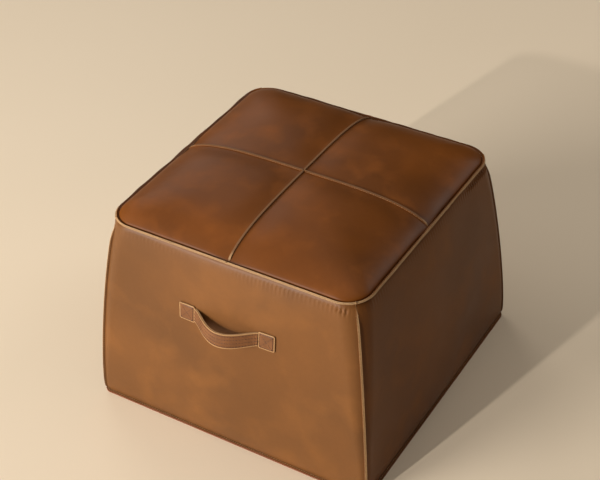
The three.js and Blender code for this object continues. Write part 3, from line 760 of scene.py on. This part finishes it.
def stitch_place(middle, along, out):
    along = Vector(along).normalized()
    side = along.cross(Vector(out)).normalized()
    turn = Matrix((side.cross(along), side, along)).transposed()
    return Matrix.Translation(Vector(middle)) @ turn.to_4x4()


def sew(name, seats, thread):
    """Copies one stitch to every seat (middle, direction of the seam, way out of the hide)."""
    row = row_of(name, one_stitch(thread), [stitch_place(*seat) for seat in seats])
    return row


def along_side(half, corner, quarter_turns):
    """A stitch's even steps along one side of a rounded square on the floor, each as (place, way out,
    way along)."""
    straight = half - corner
    length = straight + corner * math.pi / 4
    count = round(2 * length / STITCH_STEP)
    turn = Matrix.Rotation(quarter_turns * math.pi / 2, 3, "Z")
    for i in range(count):
        s = -length + (i + 0.5) * 2 * length / count
        bend = max(abs(s) - straight, 0) / corner
        sign = 1 if s > 0 else -1
        x = sign * (straight + corner * math.sin(bend)) if bend else s
        y = -straight - corner * math.cos(bend)
        out = turn @ Vector((sign * math.sin(bend), -math.cos(bend), 0))
        yield turn @ Vector((x, y, 0)) + CENTRE, out, Vector((-out.y, out.x, 0))


def rim_seats():
    """Both faces of the rim's raw edge, halfway along it."""
    up = Vector((0, 0, 1))
    for turns in range(4):
        for above in (FACE, -FACE):
            grow, z = rim_edge(EDGE * 0.45, above)
            for place, out, along in along_side(RIM_HALF + grow, RIM_CORNER + grow, turns):
                face = (up - out) if above > 0 else (out - up)
                yield place + up * z, along, face


def foot_seats():
    up = Vector((0, 0, 1))
    for turns in range(4):
        for place, out, along in along_side(BASE_HALF + FOOT * 0.5, BASE_CORNER + FOOT * 0.5, turns):
            yield place + up * BASE_SEAM, along, up


def corner_seats(quarter_turns):
    """Both faces of the raw edge down the corner at the left end of a side."""
    turn = Matrix.Rotation(quarter_turns * math.pi / 2, 3, "Z")
    aside = Vector((-SLOPE, SLOPE, 0))
    for share in np.linspace(0.03, 0.955, round(0.925 * RIM_HEIGHT / STITCH_STEP)):
        width = CORNER_EDGE * (1 - ease(share, 0.88, 1.0)) * 0.5
        points = []
        for at in (share - 0.004, share, share + 0.004):
            apex = wall_half(at) - wall_corner(at) * (1 - SLOPE) + width * SLOPE
            points.append(Vector((-apex, -apex, wall_height(at))))
        for face in (-1, 1):
            middle = turn @ (points[1] + aside * (face * FACE)) + CENTRE
            yield middle, turn @ (points[2] - points[0]), turn @ (aside * face)


def ridge_seats(quarter_turns):
    """Both faces of the ridge that runs from the middle of the seat to the middle of a side."""
    turn = Matrix.Rotation(quarter_turns * math.pi / 2, 3, "Z")
    for x in np.linspace(6 * MM, RIM_HALF * 0.984, round(RIM_HALF / STITCH_STEP)):
        points = [
            Vector((at, 0, crown_height(at / RIM_HALF) + RIDGE * 0.5))
            for at in (x - 1 * MM, x, x + 1 * MM)
        ]
        for face in (-1, 1):
            middle = turn @ (points[1] + Vector((0, face * FACE, 0))) + CENTRE
            yield middle, turn @ (points[2] - points[0]), turn @ Vector((0, face, 0))
    # A bar of four close stitches ties the ridge down where it runs into the rim.
    for x in RIM_HALF - np.array([1.5, 2.6, 3.7, 4.8]) * MM:
        top = Vector((x, 0, crown_height(x / RIM_HALF) + RIDGE * 0.6))
        yield turn @ top + CENTRE, turn @ Vector((0, 1, 0)), turn @ Vector((0, 0, 1))


def seam(name, seats, *threads):
    row = sew(name, seats, tan_thread)
    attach(row, "pouf")
    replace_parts(row, *threads)


seam("rim_stitches", rim_seats(), "rim_thread")
seam("foot_stitches", foot_seats(), "base_thread")
CORNERS = ("front_left", "right_front", "back_right", "left_back")
for turns, corner in enumerate(CORNERS):
    seam(f"corner_stitches_{corner}", corner_seats(turns), f"corner_thread_{corner}")
ARMS = ("right", "back", "left", "front")
for turns, arm in enumerate(ARMS):
    seam(f"ridge_stitches_{arm}", ridge_seats(turns), f"top_thread_{arm}")


# ---- Carrying handle -------------------------------------
# A strap of two layers of redder bridle leather, sewn face to face with four rows of dark
# thread. Each end lies under a square tab of the same leather, sewn down round its edge and
# across its corners. The strap bows out from the wall, so that fingers fit behind it.
STRAP_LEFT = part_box("handle_strap")[0].x
STRAP_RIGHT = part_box("handle_strap")[1].x
HANDLE_X = (STRAP_LEFT + STRAP_RIGHT) / 2
HANDLE_Z = 262 * MM  # height of the sewn ends
STRAP_WIDTH = 27 * MM
STRAP_ROOT = 1.95 * MM  # the strap's middle plane leaves the wall this far out
STRAP_BOW = 28 * MM  # how far it stands out in the middle
STRAP_DROOP = 8 * MM  # how far it sags in the middle
TAB_WIDTH = 30 * MM
TAB_HEIGHT = 31 * MM
STRAP_HALF = (STRAP_RIGHT - STRAP_LEFT) / 2
TAB_X = STRAP_HALF + TAB_WIDTH / 2 + 0.6 * MM


def share_of(z):
    return (z - BASE_SEAM) / (RIM_HEIGHT - BASE_SEAM)


def front_wall(x, z):
    """How far the front wall's grain face stands out from the middle of the body."""
    share = share_of(z)
    return wall_half(share) + face_bulge(x, share) + LUMPS * unevenness(x, z, 0) * calm_wall(share)


def wall_lean():
    drop = front_wall(0, HANDLE_Z - TAB_HEIGHT) - front_wall(0, HANDLE_Z + TAB_HEIGHT)
    return math.atan2(drop, 2 * TAB_HEIGHT)


LEAN = wall_lean()


def on_front(across, up, out):
    """A place near the handle: across and up the wall from the handle's middle, and out from it."""
    x = HANDLE_X + across
    z = HANDLE_Z + up * math.cos(LEAN)
    y = -front_wall(x, z) - out * math.cos(LEAN)
    return x + CENTRE.x, y + CENTRE.y, z + out * math.sin(LEAN)


def strap_place(across, up, depth):
    """A place on the strap: across is -1 to 1 along it, up is across its width, depth through it."""
    share = np.clip(1 - across ** 2, 0, 1)
    x = across * STRAP_HALF
    slope = -3 * STRAP_BOW * x * np.sqrt(share) / STRAP_HALF ** 2
    unit = np.hypot(1, slope)
    out = STRAP_ROOT + STRAP_BOW * share ** 1.5 + depth / unit
    return on_front(x - depth * slope / unit, up - STRAP_DROOP * share ** 1.3, out)


def bridle_leather():
    """Bridle leather dyed reddish brown, stuffed with wax and glazed: a tight grain with fine cross
    creases where it bends, and a bloom of paler wax in the pores. Its margins are skived, so the dye
    is gone from the last millimetre."""
    material, tree, surface = new_material("bridle leather handle", 0.45, 1.5)
    surface.inputs["Specular IOR Level"].default_value = 0.35
    where = object_place(tree)
    dyed = blended(tree, noise(tree, where, 22 * MM, 3.0), linear("#5f3b20"), linear("#87552f"))
    upright = add_node(tree, "ShaderNodeMapping", {"Vector": where, "Scale": (1.0, 1.0, 0.25)})
    creases = noise(tree, upright.outputs[0], 2.2 * MM, 3.0)
    glazed = blended(tree, spread(tree, creases, 0.55, 0.8, 0.0, 0.35), dyed, linear("#9a6b42"))
    margin = add_node(tree, "ShaderNodeAttribute", attribute_name="margin").outputs["Fac"]
    paint(tree, surface, blended(tree, margin, glazed, linear("#c09868")), creases, 0.25, 0.3 * MM)
    return material


handle_hide = bridle_leather()


def strap_half(name, side, lining):
    """One half of a layer, from its sewn end (side -1 or 1) to the middle of the strap."""
    along = np.linspace(0, 1, 46) * side
    along = np.sort(along) if not lining else -np.sort(-along)
    layer = HALF_GAP + LEATHER

    def place(column, row):
        swell = 0.5 * MM * (1 - row ** 2)
        depth = -layer - swell if lining else layer + swell
        width = STRAP_WIDTH * (0.47 + 0.03 * (1 - column ** 2))
        return strap_place(column, row * width, depth)

    across = np.linspace(-1, 1, 31)
    half = grid_of(name, along, across, place)
    mark(half, "margin", ease(np.abs(np.repeat(across, len(along))), 0.9, 0.95))
    cut_from_hide(half, handle_hide)
    return half


def seat_on(place, at, step, top):
    """A stitch's seat on the surface place(t, out), from a step before at to a step after it."""
    points = [(at - step, top), (at + step, top), (at, top + 1 * MM)]
    start, end, above = (Vector([float(v) for v in place(t, out)]) for t, out in points)
    middle = (start + end) / 2
    return middle, end - start, above - middle


def strap_rows(name, side):
    """Four rows of dark stitches along one half of the strap's face."""
    face = HALF_GAP + LEATHER + 0.45 * MM

    def seats(up):
        def place(t, out):
            return strap_place(side * t, up * STRAP_WIDTH, out)

        return [seat_on(place, at, 0.01, face) for at in np.linspace(0.035, 0.985, 15)]

    rows = [seat for up in (-0.36, -0.12, 0.12, 0.36) for seat in seats(up)]
    return sew(name, rows, brown_thread)


def hinge_half(piece, side):
    """Bakes the piece's place into its points, so that the half stays where it was built."""
    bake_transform(piece)


for end, side in (("left", -1), ("right", 1)):
    strap_face = strap_half(f"handle_face_{end}", side, False)
    strap_lining = strap_half(f"handle_lining_{end}", side, True)
    strap_stitches = strap_rows(f"handle_rows_{end}", side)
    for piece in (strap_face, strap_lining, strap_stitches):
        hinge_half(piece, side)
    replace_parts(strap_face, "handle_strap")
    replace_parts(strap_lining, "handle_strap_lining")


def rounded(column, row, width, height, radius):
    """A place in a rectangle with round corners, for column and row from -1 to 1."""
    x, y = column * width / 2, row * height / 2
    over = np.clip(np.maximum(np.abs(column), np.abs(row)), 0, 1) ** 3
    cut_x = np.clip(np.abs(x) - (width / 2 - radius), 0, None)
    cut_y = np.clip(np.abs(y) - (height / 2 - radius), 0, None)
    reach = np.hypot(cut_x, cut_y)
    shrink = np.where(reach > radius, (reach - radius) * over, 0)
    safe = np.maximum(reach, 1e-9)
    return x - np.sign(x) * shrink * cut_x / safe, y - np.sign(y) * shrink * cut_y / safe


def sewn_tab(name, centre, curl, low, top, edge_drop, width, height):
    """A patch on the wall, from low to top above it. Its grain face drops at the edge by edge_drop, and
    its upper left corner lifts by curl."""
    margins = []

    def place(column, row):
        x, y = rounded(column, row, width, height, 2.5 * MM)
        rim = np.maximum(np.abs(column), np.abs(row))
        margins.append(ease(rim, 0.91, 0.96))
        lift = curl * np.clip(column * -0.5 + row * 0.5, 0, 1) ** 4
        press = edge_drop * ease(rim, 0.72, 0.98)
        return on_front(centre + x, y, top - press + lift)

    tab = grid_of(name, np.linspace(-1, 1, 35), np.linspace(-1, 1, 35), place)
    mark(tab, "margin", margins[0])
    cut_from_hide(tab, handle_hide, top - low)
    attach(tab, "pouf")
    return tab


def tab_seats(centre, top):
    """Stitches round a tab's edge and from corner to corner."""
    x, y = TAB_WIDTH / 2 - 3 * MM, TAB_HEIGHT / 2 - 3 * MM
    ring = [(-x, -y), (x, -y), (x, y), (-x, y), (-x, -y)]
    lines = list(zip(ring, ring[1:])) + [((-x, -y), (x, y)), ((-x, y), (x, -y))]
    for (x0, y0), (x1, y1) in lines:
        count = round(math.hypot(x1 - x0, y1 - y0) / (4.2 * MM))

        def place(t, out):
            return on_front(centre + x0 + (x1 - x0) * t, y0 + (y1 - y0) * t, out)

        for i in range(count):
            yield seat_on(place, (i + 0.5) / count, 0.02, top)


for end, side in (("left", -1), ("right", 1)):
    centre = side * TAB_X
    root_size = (TAB_WIDTH - 4 * MM, STRAP_WIDTH - 2 * MM)
    root = sewn_tab(f"handle_root_{end}", centre, 0, 0.3 * MM, 1.8 * MM, 0.2 * MM, *root_size)
    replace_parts(root, f"handle_end_{end}")
    # The left tab's upper corner has lifted with use.
    curl = 2.2 * MM if side < 0 else 0.5 * MM
    patch_size = (TAB_WIDTH, TAB_HEIGHT)
    patch = sewn_tab(f"handle_patch_{end}", centre, curl, 2.1 * MM, 3.6 * MM, 0.9 * MM, *patch_size)
    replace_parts(patch, f"handle_tab_{end}")
    crossed = sew(f"handle_cross_{end}", tab_seats(centre, 3.5 * MM), brown_thread)
    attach(crossed, "pouf")
    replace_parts(crossed, f"handle_thread_{end}")


# ---- Zip in the base -------------------------------------
# A brass zip, so that the cover can be stuffed: herringbone cotton tape sewn inside the base,
# separate stamped teeth clamped to its edges, a stop at each end and a slider with a long pull.
TAPE_RIPPLE = 0.15 * MM
TEETH_INSIDE = 0.6 * MM  # from the zip's centre line to the teeth's tips
TEETH_OUTSIDE = 3.6 * MM  # and to the ends clamped on the tape
TOOTH_PITCH = 3 * MM
TOOTH_WIDTH = 1.6 * MM
TOOTH_THICK = 2.4 * MM
ZIP_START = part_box("zip_teeth_front")[0].x
ZIP_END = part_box("zip_teeth_front")[1].x
CHAIN_Z = (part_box("zip_teeth_front")[0].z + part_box("zip_teeth_front")[1].z) / 2


def herringbone_tape():
    """Dark brown cotton tape woven in a herringbone about 2 mm wide."""
    material, tree, surface = new_material("herringbone cotton tape", 0.95, 1.45)
    where = object_place(tree)
    slanting = {"Vector": where, "Scale": 1 / (4 * MM), "Distortion": 0.6}
    twill = add_node(tree, "ShaderNodeTexWave", slanting, bands_direction="DIAGONAL")
    straight = {"Vector": where, "Scale": 1 / (6 * MM)}
    cross = add_node(tree, "ShaderNodeTexWave", straight, bands_direction="Y")
    weave = blended(tree, 0.5, twill.outputs["Color"], cross.outputs["Color"])
    paint(tree, surface, blended(tree, weave, linear("#2c1e14"), linear("#5c4431")), weave, 0.5, 0.15 * MM)
    return material


def aged_brass():
    """Stamped brass, tumbled bright and since dulled: brown tarnish lies in soft patches."""
    material, tree, surface = new_material("aged brass", 0.32, 1.45, 1.0)
    tarnish = noise(tree, object_place(tree), 6 * MM, 4.0)
    paint(tree, surface, blended(tree, tarnish, linear("#7d5f2c"), linear("#c9a254")))
    tree.links.new(spread(tree, tarnish, 0, 1, 0.5, 0.22), surface.inputs["Roughness"])
    return material


tape_cloth = herringbone_tape()
brass = aged_brass()


def zip_tape(name, node):
    low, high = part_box(node)

    def place(column, row):
        return column, row, low.z + TAPE_RIPPLE * np.sin(column / (5 * MM)) * np.sin(row * 90)

    rows = np.linspace(low.y, high.y, 10)[::-1]
    tape = grid_of(name, np.linspace(low.x, high.x, 160), rows, place)
    tape.data.materials.append(tape_cloth)
    apply_modifier(tape, "cloth", "SOLIDIFY", thickness=high.z - low.z)
    tape.select_set(False)
    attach(tape, "pouf")
    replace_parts(tape, node)


def bevelled_block(name, low, high, bevel):
    bpy.ops.mesh.primitive_cube_add(size=1)
    block = bpy.context.object
    block.name = name
    size, middle = high - low, (low + high) / 2
    block.data.transform(Matrix.Translation(middle) @ Matrix.Diagonal((*size, 1)))
    bpy.ops.object.mode_set(mode="EDIT")
    bpy.ops.mesh.select_all(action="SELECT")
    bpy.ops.mesh.bevel(offset=bevel, segments=2, affect="EDGES")
    bpy.ops.object.mode_set(mode="OBJECT")
    block.data.materials.append(brass)
    bpy.ops.object.shade_smooth_by_angle(angle=math.radians(40))
    block.select_set(False)
    return block


def zip_teeth(name, node, sign, shift):
    """A row of separate teeth: each is a small brass block with bevelled edges on the tape's edge."""
    near, far = sorted((CENTRE.y + sign * TEETH_INSIDE, CENTRE.y + sign * TEETH_OUTSIDE))
    low = Vector((-TOOTH_WIDTH / 2, near, CHAIN_Z - TOOTH_THICK / 2))
    high = Vector((TOOTH_WIDTH / 2, far, CHAIN_Z + TOOTH_THICK / 2))
    steps = np.arange(ZIP_START + 1 * MM + shift, ZIP_END - 1 * MM, TOOTH_PITCH)
    tooth = bevelled_block("tooth", low, high, 0.3 * MM)
    row = row_of(name, tooth, [Matrix.Translation((x, 0, 0)) for x in steps])
    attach(row, "pouf")
    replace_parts(row, node)


zip_tape("tape_front", "zip_tape_front")
zip_tape("tape_back", "zip_tape_back")
zip_teeth("teeth_front", "zip_teeth_front", -1, 0)
zip_teeth("teeth_back", "zip_teeth_back", 1, TOOTH_PITCH / 2)
for end in ("left", "right"):
    stop = bevelled_block(f"stop_{end}", *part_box(f"zip_stop_{end}"), 0.6 * MM)
    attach(stop, "pouf")
    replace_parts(stop, f"zip_stop_{end}")


def zip_seats():
    """The rows that hold the base's edges to the tape, on the grain face of the lifted strip."""
    for sign in (-1, 1):
        for x in np.arange(-182 * MM, 182 * MM, STITCH_STEP):
            y = sign * 10 * MM
            yield Vector((x, y, strip_lift(x, abs(y)))) + CENTRE, Vector((1, 0, 0)), Vector((0, 0, -1))


seam("zip_stitches", zip_seats())

for node in ("zip_slider", "zip_pull"):
    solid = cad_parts[node]
    solid.data.materials.clear()
    solid.data.materials.append(brass)
    edge = solid.modifiers.new("worn edges", "BEVEL")
    edge.width = 0.2 * MM
    edge.segments = 2
    edge.limit_method = "ANGLE"


# ---- Stuffing --------------------------------------------
# Inside the cover stands a bag of unbleached calico. It holds a block of upholstery foam, with a
# thick pad of polyester wadding on top that makes the seat domed. Small calico patches back the
# hide behind the handle's stitches.
BAG_SLACK = 0.7 * MM  # depth of the bag's creases
FOAM_CELL = 9 * MM  # size of the foam block's faces
TUFT = 6 * MM  # size of the wadding's faces
PAD_HELD = 25 * MM  # the wadding is held at its foot, and free from this far above it
PAD_RISE = 3 * MM  # how far the wadding may swell
BACKING_MARGIN = 4 * MM  # how far a backing patch reaches past its tab
BACKING_BEHIND = 2.6 * MM  # its place behind the wall's grain face
FRAY = 0.4 * MM  # how ragged its edges are


def unbleached_calico():
    """Plain-woven cotton, about 16 threads to the centimetre, cream with darker slubs and seed flecks."""
    material, tree, surface = new_material("unbleached calico", 0.95, 1.45)
    where = object_place(tree)
    slubs = noise(tree, where, 8 * MM, 5.0)
    threads = {"Vector": where, "Scale": 1 / (0.6 * MM), "Randomness": 0.1}
    weave = add_node(tree, "ShaderNodeTexVoronoi", threads).outputs["Distance"]
    paint(tree, surface, blended(tree, slubs, linear("#b9ab8c"), linear("#e6dcc4")), weave, 0.4, 0.2 * MM)
    return material


def upholstery_foam():
    """Open-celled polyurethane foam, cut with a band knife: a cream skin of cells about 1 mm across."""
    material, tree, surface = new_material("upholstery foam", 0.9, 1.4)
    skin = {"Vector": object_place(tree), "Scale": 1 / (1.1 * MM)}
    cells = add_node(tree, "ShaderNodeTexVoronoi", skin).outputs["Distance"]
    paint(tree, surface, blended(tree, cells, linear("#c9bd8c"), linear("#ece3bd")), cells, 0.6, 0.5 * MM)
    return material


def polyester_wadding():
    """Bonded polyester wadding: white matted fibres with soft hollows between the tufts."""
    material, tree, surface = new_material("polyester wadding", 1.0, 1.4)
    tufts = noise(tree, object_place(tree), 14 * MM, 8.0, Roughness=0.7)
    paint(tree, surface, blended(tree, tufts, linear("#cfcdc6"), linear("#f4f3ef")), tufts, 0.8, 2 * MM)
    return material


calico = unbleached_calico()


def filling(name, node, material):
    """A piece that starts as the space its CAD solid holds."""
    piece = bpy.data.objects.new(name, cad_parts[node].data.copy())
    piece.data.name = name
    piece.data.materials.clear()
    piece.data.materials.append(material)
    bpy.context.collection.objects.link(piece)
    bpy.ops.object.select_all(action="DESELECT")
    piece.select_set(True)
    bpy.context.view_layer.objects.active = piece
    bpy.ops.object.mode_set(mode="EDIT")
    bpy.ops.mesh.select_all(action="SELECT")
    bpy.ops.mesh.remove_doubles(threshold=0.01 * MM)
    bpy.ops.object.mode_set(mode="OBJECT")
    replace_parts(piece, node)
    return piece


def pack_in(piece):
    bpy.context.view_layer.objects.active = piece
    piece.data.shade_smooth()
    piece.select_set(False)
    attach(piece, "pouf")


foam = filling("foam_core", "foam_block", upholstery_foam())
apply_modifier(foam, "cells", "REMESH", mode="VOXEL", voxel_size=FOAM_CELL)
apply_modifier(foam, "cut", "SMOOTH", factor=0.5, iterations=2)
pack_in(foam)

wadding = filling("wadding_pad", "top_wadding", polyester_wadding())
apply_modifier(wadding, "fibres", "REMESH", mode="VOXEL", voxel_size=TUFT)
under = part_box("top_wadding")[0].z
press_out(wadding, ease(points_of(wadding)[:, 2], under, under + PAD_HELD), PAD_RISE)
pack_in(wadding)

bag = filling("stuffing_bag", "calico_bag", calico)
bpy.ops.object.mode_set(mode="EDIT")
bpy.ops.mesh.select_all(action="SELECT")
bpy.ops.mesh.subdivide(number_cuts=3)
bpy.ops.object.mode_set(mode="OBJECT")
slack = points_of(bag)
creases = unevenness(slack[:, 0] * 3, slack[:, 1] * 3 + slack[:, 2] * 2, 9)
shrunk = 1 - BAG_SLACK * (0.5 + 0.5 * creases) / BASE_HALF
slack[:, :2] = (slack[:, :2] - CENTRE[:2]) * shrunk[:, None] + CENTRE[:2]
set_points(bag, slack)
pack_in(bag)


def backing_patch(name, centre):
    """A square of calico glued inside the wall, behind one sewn end."""
    width, height = TAB_WIDTH / 2 + BACKING_MARGIN, TAB_HEIGHT / 2 + BACKING_MARGIN

    def place(column, row):
        fray = FRAY * (np.sin(column * 40) * np.abs(row) + np.sin(row * 37) * np.abs(column))
        return on_front(centre + column * width + fray, row * height, -BACKING_BEHIND)

    patch = grid_of(name, np.linspace(-1, 1, 29), np.linspace(-1, 1, 29), place)
    patch.data.materials.append(calico)
    apply_modifier(patch, "cloth", "SOLIDIFY", thickness=1.1 * MM)
    patch.select_set(False)
    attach(patch, "pouf")
    return patch


for end, side in (("left", -1), ("right", 1)):
    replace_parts(backing_patch(f"handle_backcloth_{end}", side * TAB_X), f"handle_backing_{end}")


boxes = {"cad": cad_box, "visual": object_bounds()}
{name: [list(corner) for corner in box] for name, box in boxes.items()}
